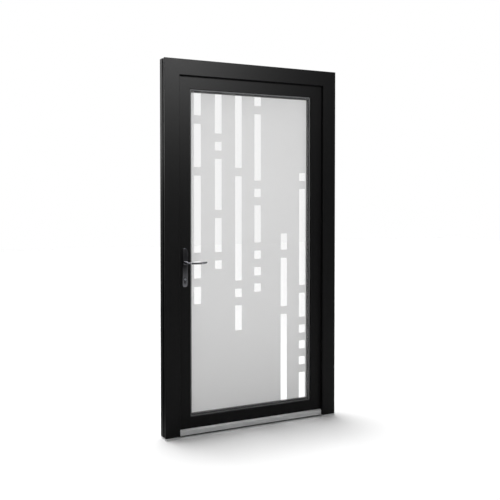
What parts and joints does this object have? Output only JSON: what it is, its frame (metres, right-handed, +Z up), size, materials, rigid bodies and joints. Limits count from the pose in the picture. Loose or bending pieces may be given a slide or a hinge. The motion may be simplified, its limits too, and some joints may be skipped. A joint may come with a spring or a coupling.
{
  "type": "glazed entrance door with frame",
  "caption": "Inward-opening aluminium entrance door in its frame, with frosted glass in a dash pattern, lever handle, mortise lock, surface hinges, drip bar and low threshold.",
  "frame": {"origin": "underside of the threshold, at mid-width and mid-depth of the frame", "axes": "+X to the right seen from outside, +Y into the building, +Z up"},
  "size_m": [1.1, 0.178, 2.1],
  "materials": {
    "black_powder_coat": "fine-texture matt powder coat",
    "black_hinge_coat": "fine-texture matt powder coat",
    "black_handle_finish": "smooth glossy dark coating",
    "silver_anodised": "matt silver anodised",
    "mill_aluminium": "mill finish",
    "stainless_steel": "brushed",
    "zinc_plated_steel": "bright zinc plated",
    "black_rubber": "matt EPDM",
    "black_plastic": "matt moulded",
    "insulating_bar": "matt glass-fibre filled polyamide",
    "clear_glass": "clear float glass",
    "frosted_glass": "satin etched with clear-white dashes",
    "glass_spacer": "dark grey spacer with edge seal"
  },
  "bodies": {
    "frame": {"jamb_lock_outer": "black_powder_coat", "jamb_lock_inner": "black_powder_coat", "jamb_hinge_outer": "black_powder_coat", "jamb_hinge_inner": "black_powder_coat", "head_outer": "black_powder_coat", "head_inner": "black_powder_coat", "frame_insulating_bars": "insulating_bar", "frame_corner_cleats": "mill_aluminium", "threshold_plate": "silver_anodised", "threshold_core": "black_plastic", "end_shoe_lock": "silver_anodised", "end_shoe_hinge": "silver_anodised", "stop_seal": "black_rubber", "lock_keep": "stainless_steel", "keep_screws": "zinc_plated_steel", "hinge_base_lower": "black_hinge_coat", "hinge_base_middle": "black_hinge_coat", "hinge_base_upper": "black_hinge_coat", "hinge_pins": "zinc_plated_steel"},
    "leaf": {"stile_lock_outer": "black_powder_coat", "stile_lock_inner": "black_powder_coat", "stile_hinge_outer": "black_powder_coat", "stile_hinge_inner": "black_powder_coat", "rail_top_outer": "black_powder_coat", "rail_top_inner": "black_powder_coat", "rail_bottom_outer": "black_powder_coat", "rail_bottom_inner": "black_powder_coat", "leaf_insulating_bars": "insulating_bar", "leaf_corner_cleats": "mill_aluminium", "flange_seal": "black_rubber", "bottom_seal": "black_rubber", "outer_pane": "clear_glass", "frosted_pane": "frosted_glass", "glass_spacer": "glass_spacer", "outer_gasket": "black_rubber", "inner_gasket": "black_rubber", "bead_top": "black_powder_coat", "bead_bottom": "black_powder_coat", "bead_lock": "black_powder_coat", "bead_hinge": "black_powder_coat", "setting_blocks": "black_plastic", "lock_case": "zinc_plated_steel", "lock_faceplate": "stainless_steel", "faceplate_screws": "zinc_plated_steel", "cylinder_body": "black_handle_finish", "outer_backplate": "black_handle_finish", "inner_backplate": "black_handle_finish", "backplate_screws": "zinc_plated_steel", "drip_bar": "silver_anodised", "drip_bar_caps": "silver_anodised", "hinge_flap_lower": "black_hinge_coat", "hinge_flap_middle": "black_hinge_coat", "hinge_flap_upper": "black_hinge_coat"},
    "handle": {"outer_lever": "black_handle_finish", "inner_lever": "black_handle_finish", "spindle": "zinc_plated_steel", "lock_follower": "zinc_plated_steel"},
    "latch": {"latch_bolt": "stainless_steel"},
    "deadbolt": {"dead_bolt": "stainless_steel"},
    "cylinder": {"cylinder_core": "zinc_plated_steel"}
  },
  "joints": [
    {"name": "leaf_swing", "type": "hinge", "parent": "frame", "child": "leaf", "pos_m": [0.492, 0.0565, 1.05], "axis": [0, 0, -1], "range_deg": [0, 170]},
    {"name": "handle_turn", "type": "hinge", "parent": "leaf", "child": "handle", "pos_m": [-0.426, 0, 0.976], "axis": [0, 1, 0], "range_deg": [0, 40], "stiffness_Nm_per_rad": 4, "springref_deg": -22.92},
    {"name": "latch_slide", "type": "slide", "parent": "leaf", "child": "latch", "axis": [1, 0, 0], "range_m": [0, 0.0122]},
    {"name": "key_turn", "type": "hinge", "parent": "leaf", "child": "cylinder", "pos_m": [-0.426, 0, 0.884], "axis": [0, 1, 0], "range_deg": [0, 360]},
    {"name": "deadbolt_slide", "type": "slide", "parent": "leaf", "child": "deadbolt", "axis": [-1, 0, 0], "range_m": [0, 0.02]}
  ],
  "couplings": [
    {"joint": "latch_slide", "follows": "handle_turn", "m_per_rad": 0.0172},
    {"joint": "key_turn", "follows": "deadbolt_slide", "rad_per_m": 314}
  ]
}
